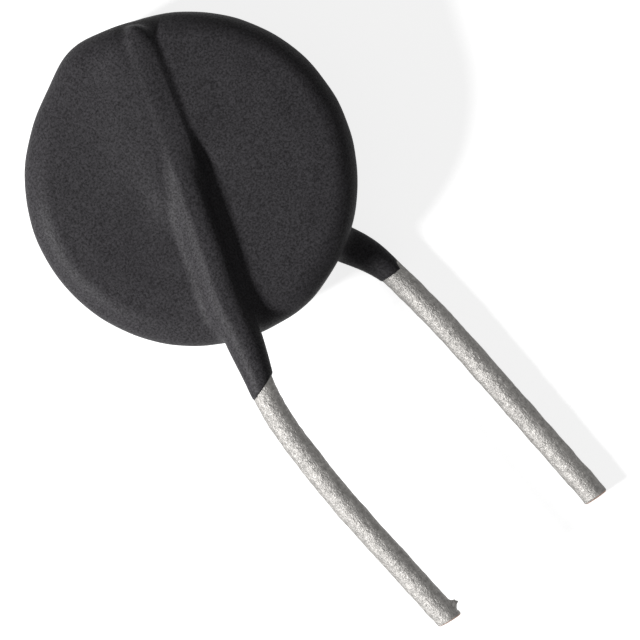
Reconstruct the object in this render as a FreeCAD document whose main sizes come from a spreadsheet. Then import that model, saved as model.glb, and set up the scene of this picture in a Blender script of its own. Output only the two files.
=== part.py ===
"""Disc thermistor with two crossed wire leads, lying on its rear face as it comes to rest.

The disc's own frame has the disc axis along Z, the leads towards -Y and the drip of the coating towards +Y.
Each wire is drawn in a frame of its own, with its buried end at the origin and its run over the disc along -Y.
Every piece is then placed from there into the resting frame, whose origin is the middle of the floor under
the part. Lengths are in millimetres and angles in degrees.
"""

import FreeCAD, Part
import math
import os
import Sketcher

SIZES = {
    # Sintered ceramic disc and its printed electrodes
    "ceramic_diameter": 11.9,
    "ceramic_thickness": 2.6,
    "ceramic_edge_break": 0.15,
    "electrode_margin": 0.4,
    "electrode_thickness": 0.05,
    # Solder bead between an electrode and its wire
    "solder_film": 0.05,
    "solder_end_margin": 0.35,
    "solder_foot": 2.0,
    "solder_undercut": 0.08,
    # Wires: each crosses its face near the centre, bends beyond the rim, and both end side by side
    "wire_diameter": 1.0,
    "wire_end_margin": 0.05,
    "lead_pitch": 7.5,
    "pitch_shift": 0.22,
    # Front wire: its run's distance from the centre towards the other wire, where its tight bend starts past
    # the rim, the slant left after that bend, and the slack bend
    "front_offset": -0.27,
    "front_bend_start": 1.75,
    "front_bend_radius": 8.5,
    "front_slant": 6.6,
    "front_ease_radius": 40.0,
    "front_lean": 0.4,
    "front_end_run": 4.8,
    # Rear wire, bent by hand a little differently
    "rear_offset": 0.0,
    "rear_bend_start": 0.45,
    "rear_bend_radius": 5.2,
    "rear_slant": 4.8,
    "rear_ease_radius": 45.0,
    "rear_lean": 0.7,
    "rear_end_run": 7.5,
    # Dipped coating: its cover over the rim, the faces and the wires, its drip point, and how much thicker
    # each face is towards the drip
    "coat_rim": 0.45,
    "coat_face": 0.45,
    "coat_wire": 0.25,
    "rim_round": 1.0,
    "ridge_fillet": 0.4,
    "drip_length": 0.39,
    "drip_round": 0.9,
    "swell_start": 1.5,
    "swell_rise": 0.4,
    "swell_radius": 6.0,
    # Sleeves that the coating draws down the wires, each ending in a slant that is longer on the outside
    "sleeve_length": 2.2,
    "sleeve_end_wall": 0.07,
    "sleeve_slant": 36.0,
}

SIDES = ("front", "rear")
V = FreeCAD.Vector
Y_AXIS = V(0, 1, 0)
Z_AXIS = V(0, 0, 1)

doc = FreeCAD.newDocument("disc_thermistor")


def make_sheet():
    """The driving dimensions, one row each, with the dimension's name as the alias of its value."""
    sheet = doc.addObject("Spreadsheet::Sheet", "sizes")
    for row, (alias, value) in enumerate(SIZES.items(), start=1):
        sheet.set(f"A{row}", alias)
        sheet.set(f"B{row}", str(value))
        sheet.setAlias(f"B{row}", alias)
    doc.recompute()
    return sheet


sizes = make_sheet()


def value_of(expression):
    """The number that an expression over the sheet gives."""
    return float(sizes.evalExpression(expression))


# Heights and radii that several pieces share, as expressions over the sheet
WIRE_RADIUS = "(sizes.wire_diameter / 2)"
CERAMIC_HALF = "(sizes.ceramic_thickness / 2)"
ELECTRODE_RADIUS = "(sizes.ceramic_diameter / 2 - sizes.electrode_margin)"
ELECTRODE_TOP = f"({CERAMIC_HALF} + sizes.electrode_thickness)"
WIRE_LIFT = f"({WIRE_RADIUS} + sizes.solder_film)"
WIRE_HEIGHT = f"({ELECTRODE_TOP} + {WIRE_LIFT})"
WIRE_START = f"({ELECTRODE_RADIUS} - sizes.wire_end_margin)"
COAT_RADIUS = "(sizes.ceramic_diameter / 2 + sizes.coat_rim)"
COAT_HALF = f"({ELECTRODE_TOP} + sizes.coat_face)"
RIDGE_RADIUS = f"({WIRE_RADIUS} + sizes.coat_wire)"


def wire_run(side):
    """Distance from the disc's centre to the start of the wire's tight bend."""
    return f"({COAT_RADIUS} + sizes.{side}_bend_start)"


def crossing_angle(side):
    """Angle between the run over the disc and the leads, which brings the wire out at its half pitch."""
    sign = {"front": "+", "rear": "-"}[side]
    run = wire_run(side)
    bend = f"sizes.{side}_bend_radius"
    pivot = f"({bend} + sizes.{side}_offset)"
    slant = f"cos(sizes.{side}_slant)"
    half_pitch = f"(sizes.lead_pitch / 2 {sign} sizes.pitch_shift)"
    still_to_go = f"({half_pitch} - {bend} * {slant} - sizes.{side}_ease_radius * (1 - {slant}))"
    return f"(atan({pivot} / {run}) + asin({still_to_go} / sqrt({run}^2 + {pivot}^2)))"


def origin_plane(body, role):
    return next(feature for feature in body.Origin.OriginFeatures if feature.Role == role)


def new_body(name):
    body = doc.addObject("PartDesign::Body", name)
    body.Label = name
    return body


def new_sketch(body, name, role, lift=None):
    """A sketch on one of the body's own origin planes, raised along its normal by an expression."""
    sketch = body.newObject("Sketcher::SketchObject", f"{body.Name}_{name}")
    sketch.AttachmentSupport = [(origin_plane(body, role), "")]
    sketch.MapMode = "FlatFace"
    if lift:
        sketch.setExpression("AttachmentOffset.Base.z", lift)
    return sketch


def line(sketch, start, end):
    return sketch.addGeometry(Part.LineSegment(V(*start), V(*end)))


def arc(sketch, centre, radius, start_angle, end_angle):
    circle = Part.Circle(V(*centre), Z_AXIS, radius)
    span = (math.radians(start_angle), math.radians(end_angle))
    return sketch.addGeometry(Part.ArcOfCircle(circle, *span))


def relate(sketch, *relations):
    for relation in relations:
        sketch.addConstraint(Sketcher.Constraint(*relation))


def dimension(sketch, name, expression, kind, *where):
    """A named dimension bound to the sheet. A sketch takes its first value of an angle in radians."""
    value = value_of(expression)
    if kind == "Angle":
        value = math.radians(value)
    index = sketch.addConstraint(Sketcher.Constraint(kind, *where, value))
    sketch.renameConstraint(index, name)
    sketch.setExpression(f"Constraints.{name}", expression)


def circle_at_origin(sketch, name, diameter):
    circle = sketch.addGeometry(Part.Circle(V(), Z_AXIS, value_of(diameter) / 2))
    relate(sketch, ("Coincident", circle, 3, -1, 1))
    dimension(sketch, name, diameter, "Diameter", circle)


def polar(angle, radius=1.0):
    """A point in the plane, from its angle in degrees and its distance."""
    return V(radius * math.cos(math.radians(angle)), radius * math.sin(math.radians(angle)))


def flat(point):
    return (point.x, point.y)


def pad(body, sketch, length, midplane=False):
    feature = body.newObject("PartDesign::Pad", f"{sketch.Name}_pad")
    feature.Profile = sketch
    feature.Midplane = midplane
    feature.setExpression("Length", length)
    return feature


def make_ceramic_disc():
    """The pressed and sintered disc, with its edges broken."""
    body = new_body("ceramic_disc")
    outline = new_sketch(body, "outline", "XY_Plane")
    circle_at_origin(outline, "rim", "sizes.ceramic_diameter")
    blank = pad(body, outline, "sizes.ceramic_thickness", midplane=True)
    doc.recompute()
    rims = [
        f"Edge{number}"
        for number, edge in enumerate(blank.Shape.Edges, start=1)
        if isinstance(edge.Curve, Part.Circle)
    ]
    broken = body.newObject("PartDesign::Chamfer", "ceramic_disc_edge_break")
    broken.Base = (blank, rims)
    broken.setExpression("Size", "sizes.ceramic_edge_break")
    return body


def make_electrode(side):
    """The metal layer printed on one face of the disc."""
    body = new_body(f"{side}_electrode")
    outline = new_sketch(body, "outline", "XY_Plane", lift=CERAMIC_HALF)
    circle_at_origin(outline, "rim", f"2 * {ELECTRODE_RADIUS}")
    pad(body, outline, "sizes.electrode_thickness")
    return body


def make_lead(side):
    """A wire: straight over the disc, a tight bend, a slack bend and a straight end, all in one plane."""
    body = new_body(f"{side}_lead")
    length = f"{WIRE_START} + {wire_run(side)}"
    first_turn = f"{crossing_angle(side)} - sizes.{side}_slant * 1 deg"
    last_turn = f"(sizes.{side}_slant + sizes.{side}_lean) * 1 deg"

    # The path starts as a chain of points near the solution
    run = value_of(length)
    bend_radius = value_of(f"sizes.{side}_bend_radius")
    ease_radius = value_of(f"sizes.{side}_ease_radius")
    bend_end_angle = 180 + value_of(first_turn)
    ease_end_angle = bend_end_angle + value_of(last_turn)
    bend_centre = V(bend_radius, -run)
    ease_centre = bend_centre + polar(bend_end_angle, bend_radius - ease_radius)
    ease_end = ease_centre + polar(ease_end_angle, ease_radius)
    tip = ease_end + polar(ease_end_angle + 90, value_of(f"sizes.{side}_end_run"))

    path = new_sketch(body, "path", "XY_Plane")
    over_disc = line(path, (0, 0), (0, -run))
    bend = arc(path, flat(bend_centre), bend_radius, 180, bend_end_angle)
    ease = arc(path, flat(ease_centre), ease_radius, bend_end_angle, ease_end_angle)
    end = line(path, flat(ease_end), flat(tip))
    relate(
        path,
        ("Coincident", over_disc, 1, -1, 1),
        ("Vertical", over_disc),
        ("Tangent", over_disc, 2, bend, 1),
        ("Tangent", bend, 2, ease, 1),
        ("Tangent", ease, 2, end, 1),
    )
    dimension(path, "length", length, "Distance", over_disc)
    dimension(path, "bend_radius", f"sizes.{side}_bend_radius", "Radius", bend)
    dimension(path, "bend_turn", first_turn, "Angle", bend)
    dimension(path, "ease_radius", f"sizes.{side}_ease_radius", "Radius", ease)
    dimension(path, "ease_turn", last_turn, "Angle", ease)
    dimension(path, "end_run", f"sizes.{side}_end_run", "Distance", end)

    section = new_sketch(body, "section", "XZ_Plane")
    circle_at_origin(section, "wire", "sizes.wire_diameter")
    doc.recompute()
    wire = body.newObject("PartDesign::AdditivePipe", f"{side}_lead_wire")
    wire.Profile = (section, [""])
    wire.Spine = (path, [""])
    return body


def make_solder_bead(side):
    """The bead along one wire before the wire displaces it: a foot on the electrode and sloped flanks."""
    body = new_body(f"{side}_solder_bead")
    half_length = f"({ELECTRODE_RADIUS} - sizes.solder_end_margin)"
    crown_width = "(sizes.wire_diameter - 2 * sizes.solder_undercut)"
    foot = value_of("sizes.solder_foot") / 2
    crown = value_of(crown_width) / 2
    lift = value_of(WIRE_LIFT)
    section = new_sketch(body, "section", "XZ_Plane", lift=f"{WIRE_START} - {half_length}")
    base = line(section, (-foot, -lift), (foot, -lift))
    right = line(section, (foot, -lift), (crown, 0))
    top = line(section, (crown, 0), (-crown, 0))
    left = line(section, (-crown, 0), (-foot, -lift))
    relate(
        section,
        ("Coincident", base, 2, right, 1),
        ("Coincident", right, 2, top, 1),
        ("Coincident", top, 2, left, 1),
        ("Coincident", left, 2, base, 1),
        ("Symmetric", top, 1, top, 2, -1, 1),
        ("Symmetric", base, 1, base, 2, -2),
        ("PointOnObject", top, 1, -1),
    )
    dimension(section, "foot", "sizes.solder_foot", "Distance", base)
    dimension(section, "crown", crown_width, "Distance", top)
    dimension(section, "lift", WIRE_LIFT, "DistanceY", base, 2, -1, 1)
    pad(body, section, f"2 * {half_length}")
    return body


def draw_drip_outline(body):
    """The coated disc seen along its axis: its rim, a round drip point and the two flanks between them."""
    radius = value_of(COAT_RADIUS)
    drip_round = value_of("sizes.drip_round")
    drip_reach = radius + value_of("sizes.drip_length") - drip_round
    spread = math.degrees(math.acos((radius - drip_round) / drip_reach))
    outline = new_sketch(body, "outline", "XY_Plane", lift=f"-{COAT_HALF}")
    rim = arc(outline, (0, 0), radius, 90 + spread, 450 - spread)
    drip = arc(outline, (0, drip_reach), drip_round, 90 - spread, 90 + spread)
    flanks = []
    for angle in (90 - spread, 90 + spread):
        on_rim = polar(angle, radius)
        on_drip = V(0, drip_reach) + polar(angle, drip_round)
        flanks.append(line(outline, flat(on_rim), flat(on_drip)))
    relate(
        outline,
        ("Coincident", rim, 3, -1, 1),
        ("PointOnObject", drip, 3, -2),
        ("Tangent", rim, 2, flanks[0], 1),
        ("Tangent", flanks[0], 2, drip, 1),
        ("Tangent", drip, 2, flanks[1], 2),
        ("Tangent", flanks[1], 1, rim, 1),
    )
    reach = f"{COAT_RADIUS} + sizes.drip_length - sizes.drip_round"
    dimension(outline, "rim_radius", COAT_RADIUS, "Radius", rim)
    dimension(outline, "drip_round", "sizes.drip_round", "Radius", drip)
    dimension(outline, "drip_reach", reach, "DistanceY", rim, 3, drip, 3)
    return outline


def draw_face_trim(body):
    """What comes off the front face: flat towards the leads, then two arcs up to a thicker flat at the drip."""
    clear_width = f"(2 * {COAT_RADIUS})"
    clear_height = f"(3 * {COAT_HALF})"
    half = value_of(COAT_HALF)
    bend = value_of("sizes.swell_radius")
    rise = value_of("sizes.swell_rise")
    start = value_of("sizes.swell_start")
    width = value_of(clear_width)
    height = value_of(clear_height)
    turn = math.degrees(math.acos(1 - rise / (2 * bend)))
    foot_centre = V(-start, half + bend)
    foot_end = foot_centre + polar(270 + turn, bend)
    shoulder_centre = foot_centre + polar(270 + turn, 2 * bend)
    shoulder_end = shoulder_centre + V(0, bend)
    trim = new_sketch(body, "trim", "YZ_Plane")
    thin = line(trim, (-width, half), (-start, half))
    foot = arc(trim, flat(foot_centre), bend, 270, 270 + turn)
    shoulder = arc(trim, flat(shoulder_centre), bend, 90, 90 + turn)
    thick = line(trim, flat(shoulder_end), (width, half + rise))
    corners = [(width, half + rise), (width, height), (-width, height), (-width, half)]
    right, top, left = [line(trim, first, last) for first, last in zip(corners, corners[1:])]
    relate(
        trim,
        ("Horizontal", thin),
        ("Tangent", thin, 2, foot, 1),
        ("Tangent", foot, 2, shoulder, 2),
        ("Tangent", shoulder, 1, thick, 1),
        ("Horizontal", thick),
        ("Coincident", thick, 2, right, 1),
        ("Coincident", right, 2, top, 1),
        ("Coincident", top, 2, left, 1),
        ("Coincident", left, 2, thin, 1),
        ("Vertical", right),
        ("Vertical", left),
        ("Symmetric", top, 1, top, 2, -2),
        ("Equal", foot, shoulder),
    )
    dimension(trim, "half_thickness", COAT_HALF, "DistanceY", -1, 1, thin, 2)
    dimension(trim, "swell_start", "sizes.swell_start", "DistanceX", thin, 2, -1, 1)
    dimension(trim, "swell_radius", "sizes.swell_radius", "Radius", foot)
    dimension(trim, "swell_rise", "sizes.swell_rise", "DistanceY", thin, 2, thick, 1)
    dimension(trim, "clear_width", clear_width, "DistanceX", thin, 1, -1, 1)
    dimension(trim, "clear_height", clear_height, "DistanceY", -1, 1, top, 1)
    return trim


def rim_edges(shape):
    """The names of the edges between the side wall and the two faces of the coated disc."""
    inside = value_of(CERAMIC_HALF)
    names = []
    for number, edge in enumerate(shape.Edges, start=1):
        box = edge.BoundBox
        middle = edge.valueAt((edge.FirstParameter + edge.LastParameter) / 2)
        on_wall = math.hypot(middle.x, middle.y) > inside
        upright = box.ZLength > max(box.XLength, box.YLength)
        if on_wall and not upright:
            names.append(f"Edge{number}")
    return names


def make_disc_skin():
    """The coated disc without its wires."""
    body = new_body("disc_skin")
    pad(body, draw_drip_outline(body), f"3 * {COAT_HALF}")
    front_trim = body.newObject("PartDesign::Pocket", "disc_skin_front_trim")
    front_trim.Profile = draw_face_trim(body)
    front_trim.Type = "ThroughAll"
    front_trim.Midplane = True
    doc.recompute()
    rounded = body.newObject("PartDesign::Fillet", "disc_skin_rounded_rim")
    rounded.Base = (front_trim, rim_edges(front_trim.Shape))
    rounded.setExpression("Radius", "sizes.rim_round")
    body.Tip = rounded
    return body


def draw_ridge(body, side, end_radius):
    """Half the outline of a wire's cover up to the wire's bend: a dome, the ridge over the disc and a taper."""
    rim_distance = f"({WIRE_START} + {COAT_RADIUS})"
    taper_start = f"({rim_distance} - {RIDGE_RADIUS})"
    bend_distance = f"({WIRE_START} + {wire_run(side)})"
    ridge = value_of(RIDGE_RADIUS)
    end = value_of(end_radius)
    taper_y = -value_of(taper_start)
    end_y = -value_of(bend_distance)
    profile = new_sketch(body, "profile", "XY_Plane")
    dome = arc(profile, (0, 0), ridge, 0, 90)
    crest = line(profile, (ridge, 0), (ridge, taper_y))
    taper = line(profile, (ridge, taper_y), (end, end_y))
    base = line(profile, (end, end_y), (0, end_y))
    core = line(profile, (0, end_y), (0, ridge))
    relate(
        profile,
        ("Coincident", dome, 3, -1, 1),
        ("Tangent", dome, 1, crest, 1),
        ("Vertical", crest),
        ("Coincident", crest, 2, taper, 1),
        ("Coincident", taper, 2, base, 1),
        ("Horizontal", base),
        ("Coincident", base, 2, core, 1),
        ("Coincident", core, 2, dome, 2),
        ("PointOnObject", core, 1, -2),
        ("PointOnObject", core, 2, -2),
    )
    dimension(profile, "ridge_radius", RIDGE_RADIUS, "Radius", dome)
    dimension(profile, "taper_start", taper_start, "DistanceY", crest, 2, -1, 1)
    dimension(profile, "bend_distance", bend_distance, "DistanceY", core, 1, -1, 1)
    dimension(profile, "end_radius", end_radius, "Distance", base)
    return profile


def draw_sleeve_path(body, side, length):
    """The arc that the sleeve follows, the start of the wire's tight bend."""
    bend_distance = f"({WIRE_START} + {wire_run(side)})"
    turn = f"({length} / sizes.{side}_bend_radius * 180 / pi * 1 deg)"
    radius = value_of(f"sizes.{side}_bend_radius")
    path = new_sketch(body, "sleeve_path", "XY_Plane")
    bend = arc(path, (radius, -value_of(bend_distance)), radius, 180, 180 + value_of(turn))
    relate(path, ("PointOnObject", bend, 1, -2), ("Horizontal", bend, 3, bend, 1))
    dimension(path, "bend_distance", bend_distance, "DistanceY", bend, 1, -1, 1)
    dimension(path, "bend_radius", f"sizes.{side}_bend_radius", "Radius", bend)
    dimension(path, "bend_turn", turn, "Angle", bend)
    return path


def draw_sleeve_cut(body, side, length):
    """What comes off the sleeve beyond its slanted end."""
    clear = f"(4 * {RIDGE_RADIUS})"
    bend_radius = f"sizes.{side}_bend_radius"
    turn = f"({length} / {bend_radius} * 180 / pi)"
    middle_x = f"({bend_radius} * (1 - cos({turn})))"
    middle_y = f"({WIRE_START} + {wire_run(side)} + {bend_radius} * sin({turn}))"
    middle = V(value_of(middle_x), -value_of(middle_y))
    side_step = polar(value_of("sizes.sleeve_slant"), value_of(clear) / 2)
    down = V(0, -value_of(clear))
    corners = [middle - side_step, middle + side_step, middle + side_step + down, middle - side_step + down]
    cut = new_sketch(body, "sleeve_cut", "XY_Plane")
    slanted, right, bottom, left = [
        line(cut, flat(first), flat(last)) for first, last in zip(corners, corners[1:] + corners[:1])
    ]
    centre = cut.addGeometry(Part.Point(middle))
    cut.toggleConstruction(centre)
    relate(
        cut,
        ("Coincident", slanted, 2, right, 1),
        ("Coincident", right, 2, bottom, 1),
        ("Coincident", bottom, 2, left, 1),
        ("Coincident", left, 2, slanted, 1),
        ("Vertical", right),
        ("Vertical", left),
        ("Parallel", slanted, bottom),
        ("Symmetric", slanted, 1, slanted, 2, centre, 1),
    )
    dimension(cut, "middle_x", middle_x, "DistanceX", -1, 1, centre, 1)
    dimension(cut, "middle_y", middle_y, "DistanceY", centre, 1, -1, 1)
    dimension(cut, "width", clear, "Distance", slanted)
    dimension(cut, "depth", clear, "DistanceY", right, 2, right, 1)
    dimension(cut, "slant", "sizes.sleeve_slant * 1 deg", "Angle", -1, 1, slanted, 1)
    return cut


def make_wire_skin(side):
    """The cover over one wire: turned about the wire up to its bend, then swept along the bend."""
    body = new_body(f"{side}_wire_skin")
    mouth_radius = f"({WIRE_RADIUS} + sizes.sleeve_end_wall)"
    bent_length = f"(sizes.sleeve_length - sizes.{side}_bend_start)"
    taper_length = f"(sizes.sleeve_length + {RIDGE_RADIUS})"
    bend_radius = f"({mouth_radius} + sizes.coat_wire * {bent_length} / {taper_length})"
    spare_length = f"({bent_length} + {RIDGE_RADIUS})"
    turned = body.newObject("PartDesign::Revolution", f"{side}_wire_skin_turned")
    turned.Profile = draw_ridge(body, side, bend_radius)
    turned.ReferenceAxis = (turned.Profile[0], ["V_Axis"])
    turned.Angle = 360
    body.Tip = turned
    section = new_sketch(body, "sleeve_section", "XZ_Plane", lift=f"({WIRE_START} + {wire_run(side)})")
    circle_at_origin(section, "sleeve", f"2 * {bend_radius}")
    path = draw_sleeve_path(body, side, spare_length)
    doc.recompute()
    swept = body.newObject("PartDesign::AdditivePipe", f"{side}_wire_skin_swept")
    swept.Profile = (section, [""])
    swept.Spine = (path, [""])
    cut = body.newObject("PartDesign::Pocket", f"{side}_wire_skin_end")
    cut.Profile = draw_sleeve_cut(body, side, bent_length)
    cut.Type = "ThroughAll"
    cut.Midplane = True
    body.Tip = cut
    return body


def seam_edges(shape, wire_skin, disc_skin):
    """The numbers of the edges where a wire's cover meets the coated disc."""
    wire = Part.makeCompound(wire_skin.Faces)
    disc = Part.makeCompound(disc_skin.Faces)
    touching = value_of("sizes.electrode_thickness") / 100
    numbers = []
    for number, edge in enumerate(shape.Edges, start=1):
        middle = Part.Vertex(edge.valueAt((edge.FirstParameter + edge.LastParameter) / 2))
        on_wire = middle.distToShape(wire)[0] < touching
        on_disc = middle.distToShape(disc)[0] < touching
        if on_wire and on_disc:
            numbers.append(number)
    return numbers


def make_coating(disc_skin, wire_skins, contents):
    """The coating: disc and wire covers as one, their seams filled with a fillet, less what it holds."""
    outside = disc_skin
    fillet = value_of("sizes.ridge_fillet")
    for side, wire_skin in wire_skins.items():
        joined = doc.addObject("Part::MultiFuse", f"coating_with_{side}_ridge")
        joined.Shapes = [outside, wire_skin]
        doc.recompute()
        seams = seam_edges(joined.Shape, wire_skin.Shape, outside.Shape)
        smooth = doc.addObject("Part::Fillet", f"coating_smooth_{side}")
        smooth.Base = joined
        smooth.Edges = [(number, fillet, fillet) for number in seams]
        doc.recompute()
        outside = smooth
    inside = doc.addObject("Part::MultiFuse", "coating_contents")
    inside.Shapes = contents
    coating = doc.addObject("Part::Cut", "coating")
    coating.Base = outside
    coating.Tool = inside
    return coating


def make_solder(side, bead, lead):
    solder = doc.addObject("Part::Cut", f"{side}_solder")
    solder.Base = bead
    solder.Tool = lead
    return solder


def face_frame(side):
    """From one face's own frame to the disc's: the rear face is the front one turned over about Y."""
    turn = {"front": 0, "rear": 180}[side]
    return FreeCAD.Placement(V(), FreeCAD.Rotation(Y_AXIS, turn))


def wire_frame(side):
    """From a wire's frame to the disc's."""
    turn = FreeCAD.Rotation(Z_AXIS, -value_of(crossing_angle(side)))
    buried_end = V(value_of(f"sizes.{side}_offset"), value_of(WIRE_START), value_of(WIRE_HEIGHT))
    over_face = FreeCAD.Placement(turn.multVec(buried_end), turn)
    return face_frame(side).multiply(over_face)


def floor_direction(lead_path):
    """Straight down in the disc's frame, with the part at rest on the rear ridge and the rear wire's tip.

    Seen along the ridge, the floor touches the round ridge and, at the tip's distance from it, the thinner wire.
    """
    tip_offset = max(vertex.X for vertex in lead_path.Shape.Vertexes)
    drop = value_of(RIDGE_RADIUS) - value_of(WIRE_RADIUS)
    tilt = math.asin(drop / tip_offset)
    return wire_frame("rear").Rotation.multVec(V(math.sin(tilt), 0, math.cos(tilt)))


def place_all(frames, rest):
    """Each piece goes from its own frame through the disc's frame to the resting one."""
    for piece, frame in frames.items():
        piece.Placement = rest.multiply(frame)
    doc.recompute()


def check_and_export(nodes):
    for obj in doc.Objects:
        if "Invalid" in obj.State or "Error" in obj.State:
            raise RuntimeError(f"{obj.Name} failed: {obj.State}")
    os.makedirs("parts", exist_ok=True)
    for name, node in nodes.items():
        shape = node.Shape
        if shape.isNull() or not shape.isValid() or len(shape.Solids) != 1:
            raise RuntimeError(f"{name} isn't one valid solid")
        node.Label = name
    for name, node in nodes.items():
        node.Shape.exportStep(f"parts/{name}.step")
        print(f"{name}: {node.Shape.Volume:.3f} mm3")


ceramic = make_ceramic_disc()
electrodes = {side: make_electrode(side) for side in SIDES}
leads = {side: make_lead(side) for side in SIDES}
beads = {side: make_solder_bead(side) for side in SIDES}
disc_skin = make_disc_skin()
wire_skins = {side: make_wire_skin(side) for side in SIDES}
doc.recompute()

frames = {ceramic: FreeCAD.Placement(), disc_skin: FreeCAD.Placement()}
for side in SIDES:
    frames[electrodes[side]] = face_frame(side)
    for piece in (leads[side], beads[side], wire_skins[side]):
        frames[piece] = wire_frame(side)
down = floor_direction(doc.getObject("rear_lead_path"))
tilted = FreeCAD.Placement(V(), FreeCAD.Rotation(down, -Z_AXIS))
place_all(frames, tilted)

# The whole part moves so that the middle of its footprint is the origin and it stands on the floor
outer_pieces = [disc_skin, *wire_skins.values(), *leads.values()]
box = Part.makeCompound([piece.Shape for piece in outer_pieces]).optimalBoundingBox()
to_floor = FreeCAD.Placement(V(-box.Center.x, -box.Center.y, -box.ZMin), FreeCAD.Rotation())
place_all(frames, to_floor.multiply(tilted))

solders = {side: make_solder(side, beads[side], leads[side]) for side in SIDES}
contents = [ceramic, *electrodes.values(), *solders.values(), *leads.values()]
coating = make_coating(disc_skin, wire_skins, contents)
doc.recompute()

nodes = {"coating": coating, "ceramic_disc": ceramic}
for side in SIDES:
    nodes[f"{side}_electrode"] = electrodes[side]
    nodes[f"{side}_solder"] = solders[side]
    nodes[f"{side}_lead"] = leads[side]
check_and_export(nodes)
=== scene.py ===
"""The looks of the disc thermistor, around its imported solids.

Shapes are worked out in millimetres in the disc's own frame: its axis along Z with the front face at +Z, the
leads towards -Y and the drip of the coating towards +Y. to_row takes them into the row frame, in metres.
"""

import math

import bpy
import numpy as np
import openvdb
from mathutils import Matrix, Vector


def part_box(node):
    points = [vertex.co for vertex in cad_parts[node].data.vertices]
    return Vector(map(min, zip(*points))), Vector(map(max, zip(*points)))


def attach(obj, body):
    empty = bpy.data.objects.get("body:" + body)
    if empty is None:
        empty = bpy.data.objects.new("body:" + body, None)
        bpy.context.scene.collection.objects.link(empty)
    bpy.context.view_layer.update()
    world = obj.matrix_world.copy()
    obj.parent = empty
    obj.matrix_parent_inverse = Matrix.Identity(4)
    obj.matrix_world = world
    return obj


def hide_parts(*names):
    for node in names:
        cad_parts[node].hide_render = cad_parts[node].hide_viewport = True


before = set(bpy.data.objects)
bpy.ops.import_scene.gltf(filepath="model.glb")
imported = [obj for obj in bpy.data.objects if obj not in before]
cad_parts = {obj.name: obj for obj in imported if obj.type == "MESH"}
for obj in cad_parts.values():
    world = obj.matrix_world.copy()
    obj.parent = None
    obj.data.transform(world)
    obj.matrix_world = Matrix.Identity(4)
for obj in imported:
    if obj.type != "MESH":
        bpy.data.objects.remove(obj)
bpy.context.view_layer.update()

SIDES = ("front", "rear")

# Wires. Height is from the disc's middle plane, start is how far a wire reaches past the disc's centre.
WIRE_RADIUS = 0.5
WIRE_HEIGHT = 1.9
WIRE_START = 5.5
HALF_PITCH = {"front": 3.97, "rear": 3.53}
# A wire runs straight to start past the rim and turns with radius bend until it is slant degrees off the
# leads' direction. It turns on with radius ease until it is lean degrees past it, and ends straight over the
# length end.
LEADS = {
    "front": dict(offset=-0.27, start=1.75, bend=8.5, slant=6.6, ease=40.0, lean=0.4, end=4.8),
    "rear": dict(offset=0.0, start=0.45, bend=5.2, slant=4.8, ease=45.0, lean=0.7, end=7.5),
}
PATH_STEP = 0.05
VISIBLE_FROM = 12.5
COARSE_RINGS = 8
AROUND = 64
# Height, wavelength and seed of each layer of wear on the tin
WEAR = ((0.006, 0.9, 21), (0.0035, 0.25, 22))
CUT_SLOPE = {"front": 10, "rear": 5.5}
CUT_EDGE = 0.07
CUT_ROUNDING = 0.05
CAP_RINGS = (0.75, 0.45, 0.2)
CAP_RISE = 0.01
CAP_PEAK = 0.012

# Coating. The faces' heights are from the disc's middle plane.
RIM = 6.4
FRONT_FACE = 1.9
REAR_FACE = 1.8
EDGE_ROUNDING = 1.0
WAVE_HEIGHT = 0.006
WAVE_LENGTH = 1.6
WAVE_SEED = 5
RIDGE_RADIUS = {"front": 0.71, "rear": 0.738}
SLEEVE_ALONG = (6.6, 7.0, 7.6, 8.2, 8.9)
SLEEVE_RADIUS = (0.72, 0.69, 0.63, 0.57, 0.53)
SLEEVE_END = {"front": 8.55, "rear": 8.92}
SLEEVE_SLANT = 0.7
SLEEVE_EDGE = 0.06
SKIN_BOX = ((-7.2, -9.8, -3.2), (7.2, 7.4, 3.2))
VOXEL = 0.08
PROBE = 0.02

# Light. GLOSSY_SHARE is how much of the white that the camera sees shows in reflections.
GLOSSY_SHARE = 0.5
FLOOR_GLOW = 0.82
WORLD_WHITE = 1.0
WORLD_FILL = 0.125
FLOOR_HALF = 0.6
LAMP_AIM = (0, -6, 0)

# Camera. It looks straight down the disc's axis, from as far off as the photograph's perspective suggests.
CAMERA_AIM = (0.04, -7.40)
CAMERA_DISTANCE = 170.0
FRAME_WIDTH = 24.74
SENSOR_WIDTH = 36
PHOTO_TURN = math.radians(42)


def centre_of(node):
    low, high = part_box(node)
    return (low + high) / 2


disc_axis = (centre_of("front_electrode") - centre_of("rear_electrode")).normalized()
disc_turn = Vector((0, 0, 1)).rotation_difference(disc_axis).to_matrix().to_4x4()
to_row = Matrix.Translation(centre_of("ceramic_disc")) @ disc_turn @ Matrix.Scale(0.001, 4)


def crossing_angle(side):
    """Angle between the wire's run over the disc and the leads, in radians, as in the source."""
    lead = LEADS[side]
    run = RIM + lead["start"]
    slant = math.cos(math.radians(lead["slant"]))
    pivot = lead["bend"] + lead["offset"]
    to_go = HALF_PITCH[side] - lead["bend"] * slant - lead["ease"] * (1 - slant)
    return math.atan(pivot / run) + math.asin(to_go / math.hypot(run, pivot))


ANGLE = {side: crossing_angle(side) for side in SIDES}


def smooth_step(value, low, high):
    share = np.clip((value - low) / (high - low), 0, 1)
    return share * share * (3 - 2 * share)


def smooth_union(first, second, reach):
    share = np.clip(0.5 + 0.5 * (second - first) / reach, 0, 1)
    return second + (first - second) * share - reach * share * (1 - share)


def bump(value, centre, width):
    return np.exp(-(((value - centre) / width) ** 2))


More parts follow.
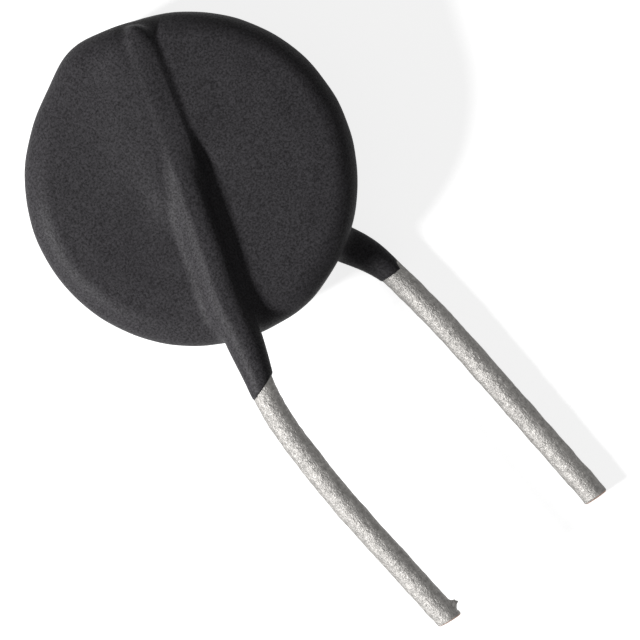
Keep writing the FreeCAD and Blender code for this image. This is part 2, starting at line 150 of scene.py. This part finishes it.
def wobble(points, wavelength, seed, waves=14):
    """Smooth seeded noise of about unit size, as a sum of waves in random directions."""
    draw = np.random.default_rng(seed)
    total = np.zeros(len(points))
    for _ in range(waves):
        direction = draw.normal(size=3)
        direction *= 2 * math.pi / (wavelength * draw.uniform(0.7, 1.5)) / np.linalg.norm(direction)
        total += np.sin(points @ direction + draw.uniform(0, 2 * math.pi))
    return total * math.sqrt(2 / waves)


def rim_radius(angle):
    """Rim of the coated disc by degrees from the drip: a soft drip point and a fuller lead side."""
    back = angle % 360 - 180
    drip = 0.26 * bump(angle, 1, 11) + 0.1 * bump(angle, -1, 23)
    lead_side = 0.14 * bump(back, -7, 48) + 0.07 * bump(back, 0, 9)
    return RIM - 0.06 * bump(angle, 0, 85) + drip + lead_side


def along_wire(side, x, y):
    """Distances along a wire's run, from the disc's centre to the leads, and off it, to the inside."""
    x = x if side == "front" else -x
    sine, cosine = math.sin(ANGLE[side]), math.cos(ANGLE[side])
    return -x * sine - y * cosine, x * cosine - y * sine - LEADS[side]["offset"]


def front_height(x, y):
    """Height of the front face. It swells towards the drip, most left of the wire, and falls to the rim."""
    along, across = along_wire("front", x, y)
    beside = bump(across, 0.5, 1.0)
    fallen = smooth_step((along + 0.15 * across + 2.4 - 1.0 * beside) / (3.4 - 2.2 * beside), 0, 1)
    right_rise = 0.5 * (1 - fallen)
    mound = 1 - smooth_step(along + 0.1 * across, -1.6, 1.4)
    bank = 0.06 * bump(across, -0.7, 1.2) * smooth_step(along, -1.2, 1.0)
    left_rise = 0.12 + (0.2 + 0.39 * bump(across, 0, 2.2)) * mound
    foot = 0.12 * bump(across, -0.85, 0.55) * bump(along, 0.6, 0.9)
    dip = 0.5 * bump(across, 0.5, 0.55) * smooth_step(-along, 5.1, 6.2)
    left = 1 - smooth_step(across, 0.68, 1.1)
    shoulder = 0.1 * smooth_step(np.hypot(x, y), 4.3, 6.2)
    return FRONT_FACE + right_rise + (left_rise + bank - right_rise) * left + foot - dip - shoulder


def wire_skin(side, x, y, z):
    """The coating round one wire: ridge over the disc, then a sleeve that thins out and ends in a slant."""
    lead = LEADS[side]
    along, across = along_wire(side, x, y)
    height = (z if side == "front" else -z) - WIRE_HEIGHT
    past_bend = np.clip(along - RIM - lead["start"], 0, lead["bend"] * 0.6)
    centre = lead["bend"] - np.sqrt(lead["bend"] ** 2 - past_bend**2)
    before = np.minimum(along + WIRE_START, 0)
    radius = np.interp(along, (6.0, *SLEEVE_ALONG), (RIDGE_RADIUS[side], *SLEEVE_RADIUS))
    across = across - centre
    wide = np.ones_like(across)
    power = 2.0
    if side == "front":
        # The front ridge leans to the left where it nears the leads, and is wider and squarer on the right
        on_disc = 1 - smooth_step(along, 4.6, 6.6)
        across = across + (0.085 + 0.035 * along) * on_disc
        rightwards = smooth_step(across, -0.3, 0.3) * on_disc
        leftwards = on_disc - rightwards
        wide += 0.14 * rightwards + 0.1 * leftwards
        power = 2 + 0.7 * rightwards - 0.4 * leftwards
    level = np.sqrt(before**2 + (across / wide) ** 2)
    tube = (level**power + np.abs(height) ** power) ** (1 / power) - radius
    end = SLEEVE_END[side] - SLEEVE_SLANT * (across + centre)
    cut = (along - end) * 0.8
    return -smooth_union(-tube, -cut, SLEEVE_EDGE)


def coating_field(points):
    """Signed distance to the coating's surface, nearly, in millimetres."""
    x, y, z = points.T
    drip_angle = (np.degrees(np.arctan2(y, x)) - 90 + 180) % 360 - 180
    to_side = np.hypot(x, y) - rim_radius(drip_angle) + EDGE_ROUNDING
    to_face = np.abs(z) - np.where(z >= 0, front_height(x, y), REAR_FACE) + EDGE_ROUNDING
    skin = np.hypot(np.maximum(to_side, 0), np.maximum(to_face, 0))
    skin += np.minimum(np.maximum(to_side, to_face), 0) - EDGE_ROUNDING
    for side in SIDES:
        # The fillet along a ridge widens towards the leads, least on the right of the front one
        along, across = along_wire(side, x, y)
        rootwards = smooth_step(along, 4.4, 6.2)
        reach = 0.12 + 0.16 * smooth_step(along, -1.5, 0.5) + 0.24 * rootwards
        if side == "front":
            reach -= rootwards * (0.1 + 0.16 * smooth_step(across, -0.3, 0.3))
        skin = smooth_union(skin, wire_skin(side, x, y, z), reach)
    return skin + WAVE_HEIGHT * wobble(points, WAVE_LENGTH, WAVE_SEED)


def field_mesh(field, low, high, step):
    """The zero surface of a field in a box, as points and quads, with each point moved onto it."""
    counts = [int(math.ceil((b - a) / step)) + 1 for a, b in zip(low, high)]
    axes = [low[i] + step * np.arange(counts[i]) for i in range(3)]
    values = np.empty(counts, np.float32)
    for i, x in enumerate(axes[0]):
        yy, zz = np.meshgrid(axes[1], axes[2], indexing="ij")
        layer = np.stack([np.full(yy.size, x), yy.ravel(), zz.ravel()], 1)
        values[i] = field(layer).reshape(counts[1], counts[2])
    grid = openvdb.FloatGrid(1.0)
    grid.copyFromArray(values)
    points, quads = grid.convertToQuads()
    points = np.asarray(points, float) * step + np.array(low)
    for _ in range(2):
        here = field(points)
        slope = np.empty_like(points)
        for axis in range(3):
            shift = np.zeros(3)
            shift[axis] = PROBE
            slope[:, axis] = (field(points + shift) - field(points - shift)) / (2 * PROBE)
        points -= slope * (here / np.maximum((slope**2).sum(1), 0.2))[:, None]
    return points, np.asarray(quads).tolist()


def add_mesh(name, points, faces, material):
    mesh = bpy.data.meshes.new(name)
    mesh.from_pydata(points.tolist(), [], faces)
    mesh.transform(to_row)
    mesh.update()
    mesh.shade_smooth()
    obj = bpy.data.objects.new(name, mesh)
    bpy.context.scene.collection.objects.link(obj)
    mesh.materials.append(material)
    return obj


def lead_path(side, step):
    """Distances along a wire's centreline, its points and their directions, in the disc's frame."""
    lead = LEADS[side]
    angle = ANGLE[side]
    slant = math.radians(lead["slant"])
    lean = math.radians(lead["lean"])
    pieces = [
        (WIRE_START + RIM + lead["start"], None),
        ((angle - slant) * lead["bend"], lead["bend"]),
        ((slant + lean) * lead["ease"], lead["ease"]),
        (lead["end"], None),
    ]
    total = sum(length for length, _ in pieces)
    distance = np.linspace(0, total, int(round(total / step)) + 1)
    turn = np.zeros_like(distance)
    start = 0.0
    for length, radius in pieces:
        if radius:
            turn += np.clip(distance - start, 0, length) / radius
        start += length
    heading = -angle + turn
    middle = (heading[1:] + heading[:-1]) / 2
    piece = np.diff(distance)
    sine, cosine = math.sin(angle), math.cos(angle)
    x = lead["offset"] * cosine + WIRE_START * sine + np.r_[0, np.cumsum(np.sin(middle) * piece)]
    y = -lead["offset"] * sine + WIRE_START * cosine - np.r_[0, np.cumsum(np.cos(middle) * piece)]
    points = np.stack([x, y, np.full_like(x, WIRE_HEIGHT)], 1)
    ahead = np.stack([np.sin(heading), -np.cos(heading), np.zeros_like(x)], 1)
    if side == "rear":
        points *= (-1, 1, -1)
        ahead *= (-1, 1, -1)
    return distance, points, ahead


def wire_mesh(side, material):
    """The tinned wire as rings along its centreline, with its worn surface and its cut end."""
    distance, centre, ahead = lead_path(side, PATH_STEP)
    # Under the coating, where nothing shows, the rings are further apart
    keep = (distance > VISIBLE_FROM) | (np.arange(len(distance)) % COARSE_RINGS == 0)
    distance, centre, ahead = distance[keep], centre[keep], ahead[keep]
    up = np.array([0, 0, 1.0])
    right = np.cross(ahead, up)
    if right[-1, 0] < 0:
        right = -right
    turn = np.linspace(0, 2 * math.pi, AROUND, endpoint=False)
    spokes = np.cos(turn)[None, :, None] * right[:, None] + np.sin(turn)[None, :, None] * up
    total = distance[-1]
    slope = math.tan(math.radians(CUT_SLOPE[side]))
    near_tip = np.clip(1 - (total - distance) / 1.5, 0, 1)[:, None]
    slide = near_tip * slope * WIRE_RADIUS * np.cos(turn)[None]

    where = centre[:, None] + spokes * WIRE_RADIUS
    flat = where.reshape(-1, 3)
    radius = np.full(where.shape[:2], WIRE_RADIUS)
    for height, wavelength, seed in WEAR:
        radius += height * wobble(flat, wavelength, seed).reshape(where.shape[:2])
    rounding = np.clip((distance - total + CUT_EDGE) / CUT_EDGE, 0, 1)[:, None]
    radius -= CUT_ROUNDING * rounding**2
    if side == "front":
        # The burr that the cutter left just before the end, with a nick behind the edge
        from_tip = (total - distance)[:, None]
        sideways = np.angle(np.exp(1j * (turn - 0.15)))[None]
        burr = bump(from_tip, 0.45, 0.13) * bump(sideways, 0, 0.36)
        radius += burr * (0.21 + 0.05 * wobble(flat, 0.12, 23).reshape(where.shape[:2]))
        radius -= 0.04 * bump(from_tip, 0.22, 0.05) * bump(sideways, 0, 0.6)

    points = centre[:, None] + spokes * radius[..., None] + ahead[:, None] * slide[..., None]
    vertices = [points.reshape(-1, 3)]
    for share in CAP_RINGS:
        vertices.append(centre[-1] + (points[-1] - centre[-1]) * share + ahead[-1] * CAP_RISE)
    vertices.append((centre[-1] + ahead[-1] * CAP_PEAK)[None])
    vertices.append(centre[:1])
    vertices = np.concatenate(vertices)

    rings = len(distance)
    layers = rings + len(CAP_RINGS)
    index = np.arange(layers * AROUND).reshape(layers, AROUND)
    beyond = np.roll(index, -1, axis=1)
    faces = np.stack([index[:-1], beyond[:-1], beyond[1:], index[1:]], -1).reshape(-1, 4).tolist()
    tip = layers * AROUND
    root = tip + 1
    faces += [(int(a), int(b), tip) for a, b in zip(index[-1], beyond[-1])]
    faces += [(int(b), int(a), root) for a, b in zip(index[0], beyond[0])]
    obj = add_mesh(f"{side}_wire", vertices, faces, material)

    copper = np.zeros(len(vertices))
    copper[: rings * AROUND] = np.repeat(0.8 * smooth_step(distance, total - 0.05, total), AROUND)
    copper[rings * AROUND :] = 1.0
    copper[root] = 0
    obj.data.attributes.new("copper", "FLOAT", "POINT").data.foreach_set("value", copper.astype(np.float32))
    return obj


class Shader:
    """A node material with a principled shader, and short ways to add nodes to it."""

    def __init__(self, name):
        self.material = bpy.data.materials.new(name)
        self.material.use_nodes = True
        self.tree = self.material.node_tree
        self.principled = self.tree.nodes["Principled BSDF"]

    def node(self, kind, **inputs):
        node = self.tree.nodes.new(kind)
        for name, value in inputs.items():
            self.put(node.inputs[name.replace("_", " ")], value)
        return node

    def put(self, socket, value):
        if isinstance(value, bpy.types.NodeSocket):
            self.tree.links.new(value, socket)
        else:
            socket.default_value = value

    def vector(self, operation, vector, socket, value):
        node = self.tree.nodes.new("ShaderNodeVectorMath")
        node.operation = operation
        self.put(node.inputs[0], vector)
        self.put(node.inputs[socket], value)
        return node.outputs[0]

    def place(self):
        """Position in millimetres."""
        return self.vector("SCALE", self.node("ShaderNodeTexCoord").outputs["Object"], "Scale", 1000)

    def noise(self, vector, scale, detail=2.0, roughness=0.5):
        kind = "ShaderNodeTexNoise"
        node = self.node(kind, Vector=vector, Scale=scale, Detail=detail, Roughness=roughness)
        return node.outputs["Fac"]

    def remap(self, value, from_min, from_max, to_min, to_max):
        node = self.tree.nodes.new("ShaderNodeMapRange")
        for index, number in enumerate((value, from_min, from_max, to_min, to_max)):
            self.put(node.inputs[index], number)
        return node.outputs[0]

    def mix(self, share, first, second):
        node = self.tree.nodes.new("ShaderNodeMix")
        node.data_type = "RGBA"
        self.put(node.inputs["Factor"], share)
        colours = [socket for socket in node.inputs if socket.type == "RGBA"]
        self.put(colours[0], first)
        self.put(colours[1], second)
        return next(socket for socket in node.outputs if socket.type == "RGBA")

    def bump(self, height, distance, strength, normal=None):
        """A bump whose distance is in metres, on top of another one when normal is given."""
        node = self.node("ShaderNodeBump", Height=height, Distance=distance, Strength=strength)
        if normal is not None:
            self.put(node.inputs["Normal"], normal)
        return node.outputs[0]

    def set(self, **inputs):
        for name, value in inputs.items():
            self.put(self.principled.inputs[name.replace("_", " ")], value)
        return self.material


def coating_material():
    """Dull charcoal resin with a fine grain of filler and faint clouding."""
    dark = (0.0125, 0.0117, 0.0127, 1)
    light = (0.0495, 0.0474, 0.0515, 1)
    clouded = (0.0235, 0.0228, 0.0243, 1)
    shader = Shader("coating_resin")
    place = shader.place()
    grain = shader.noise(place, 12.0, 3.0, 0.75)
    cloud = shader.noise(place, 0.45, 2.0)
    base = shader.mix(shader.remap(grain, 0.36, 0.64, 0.0, 1.0), dark, light)
    base = shader.mix(shader.remap(cloud, 0.35, 0.65, 0.0, 0.06), base, clouded)
    fine = shader.bump(grain, 0.00002, 0.8)
    broad = shader.bump(shader.noise(place, 2.2, 2.0), 0.00003, 0.12, fine)
    rough = shader.remap(grain, 0.3, 0.7, 0.54, 0.4)
    return shader.set(Base_Color=base, Roughness=rough, Specular_IOR_Level=0.08, Normal=broad)


def wire_material():
    """Dull tin over copper: mottled, pitted and lightly scratched, with bare copper where it is cut."""
    dark = (0.25, 0.242, 0.231, 1)
    light = (0.415, 0.402, 0.385, 1)
    scratched = (0.3, 0.28, 0.27, 1)
    bare = (0.62, 0.27, 0.14, 1)
    shader = Shader("tinned_copper")
    place = shader.place()
    mottle = shader.noise(place, 6.0, 4.0, 0.68)
    speck = shader.noise(place, 13.0, 2.0, 0.6)
    scratch = shader.noise(shader.vector("MULTIPLY", place, 1, (14.0, 0.9, 14.0)), 1.0, 3.0, 0.6)
    base = shader.mix(shader.remap(mottle, 0.35, 0.65, 0.0, 1.0), dark, light)
    base = shader.mix(shader.remap(scratch, 0.56, 0.66, 0.0, 0.35), base, scratched)
    copper = shader.node("ShaderNodeAttribute")
    copper.attribute_name = "copper"
    base = shader.mix(copper.outputs["Fac"], base, bare)
    rough = shader.remap(speck, 0.3, 0.7, 0.6, 0.46)
    fine = shader.bump(speck, 0.00004, 0.8)
    coarse = shader.bump(mottle, 0.00008, 0.8, fine)
    lined = shader.bump(scratch, 0.00003, 0.5, coarse)
    return shader.set(Base_Color=base, Metallic=0.75, Roughness=rough, Normal=lined)


def inner_material(name, dark, light, metallic, roughness, scale):
    """A plain material with grain, for the pieces inside the coating."""
    shader = Shader(name)
    grain = shader.noise(shader.place(), scale, 3.0)
    base = shader.mix(shader.remap(grain, 0.3, 0.7, 0.0, 1.0), dark, light)
    rough = shader.remap(grain, 0.3, 0.7, roughness - 0.08, roughness + 0.08)
    normal = shader.bump(grain, 0.00003, 0.6)
    return shader.set(Base_Color=base, Metallic=metallic, Roughness=rough, Normal=normal)


def repaint(node, material):
    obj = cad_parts[node]
    if not obj.material_slots:
        obj.data.materials.append(material)
    for slot in obj.material_slots:
        slot.material = material


oxide = inner_material("oxide_grain", (0.02, 0.019, 0.02, 1), (0.05, 0.047, 0.048, 1), 0.0, 0.7, 12.0)
silver = inner_material("silver_print", (0.55, 0.54, 0.5, 1), (0.82, 0.81, 0.78, 1), 1.0, 0.45, 8.0)
solder = inner_material("solder_grain", (0.42, 0.43, 0.44, 1), (0.68, 0.69, 0.7, 1), 1.0, 0.35, 5.0)
repaint("ceramic_disc", oxide)
for side in SIDES:
    repaint(f"{side}_electrode", silver)
    repaint(f"{side}_solder", solder)

resin = coating_material()
repaint("coating", resin)
skin = add_mesh("coating_skin", *field_mesh(coating_field, *SKIN_BOX, VOXEL), resin)
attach(skin, "root")
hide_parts("coating")

tin = wire_material()
for side in SIDES:
    repaint(f"{side}_lead", tin)
    wire = wire_mesh(side, tin)
    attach(wire, "root")
    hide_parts(f"{side}_lead")


def camera_share(tree):
    """How much of the white a ray sees: all for the camera, a part for a reflection, else none."""
    path = tree.nodes.new("ShaderNodeLightPath")
    share = tree.nodes.new("ShaderNodeMath")
    share.operation = "MULTIPLY_ADD"
    tree.links.new(path.outputs["Is Glossy Ray"], share.inputs[0])
    share.inputs[1].default_value = GLOSSY_SHARE
    tree.links.new(path.outputs["Is Camera Ray"], share.inputs[2])
    return share.outputs[0]


def mix_shaders(tree, share, first, second):
    mix = tree.nodes.new("ShaderNodeMixShader")
    for index, socket in enumerate((share, first.outputs[0], second.outputs[0])):
        tree.links.new(socket, mix.inputs[index])
    return mix.outputs[0]


def floor_material():
    """Plain white ground that shows a little brighter to the camera, with the shadow kept."""
    material = bpy.data.materials.new("white_ground")
    material.use_nodes = True
    tree = material.node_tree
    diffuse = tree.nodes["Principled BSDF"]
    diffuse.inputs["Base Color"].default_value = (0.55, 0.55, 0.55, 1)
    diffuse.inputs["Roughness"].default_value = 0.9
    diffuse.inputs["Specular IOR Level"].default_value = 0.0
    glow = tree.nodes.new("ShaderNodeEmission")
    glow.inputs["Strength"].default_value = FLOOR_GLOW
    dark = tree.nodes.new("ShaderNodeEmission")
    dark.inputs["Strength"].default_value = 0.0
    both = tree.nodes.new("ShaderNodeAddShader")
    tree.links.new(diffuse.outputs[0], both.inputs[0])
    tree.links.new(mix_shaders(tree, camera_share(tree), dark, glow), both.inputs[1])
    tree.links.new(both.outputs[0], tree.nodes["Material Output"].inputs["Surface"])
    return material


def add_floor():
    half = FLOOR_HALF
    mesh = bpy.data.meshes.new("floor")
    corners = [(-half, -half, 0), (half, -half, 0), (half, half, 0), (-half, half, 0)]
    mesh.from_pydata(corners, [], [(0, 1, 2, 3)])
    mesh.materials.append(floor_material())
    floor = bpy.data.objects.new("floor", mesh)
    bpy.context.scene.collection.objects.link(floor)


def add_lamp(name, azimuth, elevation, distance, size, power):
    """A round area lamp in a direction given in degrees in the disc's frame, at a distance in metres."""
    data = bpy.data.lights.new(name, "AREA")
    data.shape = "DISK"
    data.size = size
    data.energy = power
    lamp = bpy.data.objects.new(name, data)
    bpy.context.scene.collection.objects.link(lamp)
    a, e = math.radians(azimuth), math.radians(elevation)
    local = Vector((math.cos(e) * math.cos(a), math.cos(e) * math.sin(a), math.sin(e)))
    aim = to_row @ Vector(LAMP_AIM)
    lamp.location = aim + (disc_turn.to_3x3() @ local).normalized() * distance
    lamp.rotation_euler = (aim - lamp.location).to_track_quat("-Z", "Y").to_euler()


def add_world():
    """White surroundings for the camera, and a weak even fill for everything else."""
    world = bpy.data.worlds.new("surroundings")
    bpy.context.scene.world = world
    world.use_nodes = True
    tree = world.node_tree
    fill = tree.nodes["Background"]
    white = tree.nodes.new("ShaderNodeBackground")
    for background, strength in ((fill, WORLD_FILL), (white, WORLD_WHITE)):
        background.inputs["Color"].default_value = (1, 1, 1, 1)
        background.inputs["Strength"].default_value = strength
    seen = mix_shaders(tree, camera_share(tree), fill, white)
    tree.links.new(seen, tree.nodes["World Output"].inputs["Surface"])


def add_camera():
    data = bpy.data.cameras.new("camera")
    data.sensor_width = SENSOR_WIDTH
    data.lens = SENSOR_WIDTH * CAMERA_DISTANCE / FRAME_WIDTH
    data.clip_start = 0.01
    data.clip_end = 5
    camera = bpy.data.objects.new("camera", data)
    bpy.context.scene.collection.objects.link(camera)
    screen_right = Vector((math.cos(PHOTO_TURN), -math.sin(PHOTO_TURN), 0))
    screen_up = Vector((math.sin(PHOTO_TURN), math.cos(PHOTO_TURN), 0))
    axes = Matrix((screen_right, screen_up, Vector((0, 0, 1)))).transposed().to_4x4()
    stand = to_row @ Vector((*CAMERA_AIM, CAMERA_DISTANCE))
    camera.matrix_world = Matrix.Translation(stand) @ disc_turn @ axes
    bpy.context.scene.camera = camera


add_floor()
add_lamp("key", azimuth=169, elevation=35, distance=0.30, size=0.06, power=1.55)
add_world()
add_camera()
bpy.context.scene.view_settings.view_transform = "Standard"
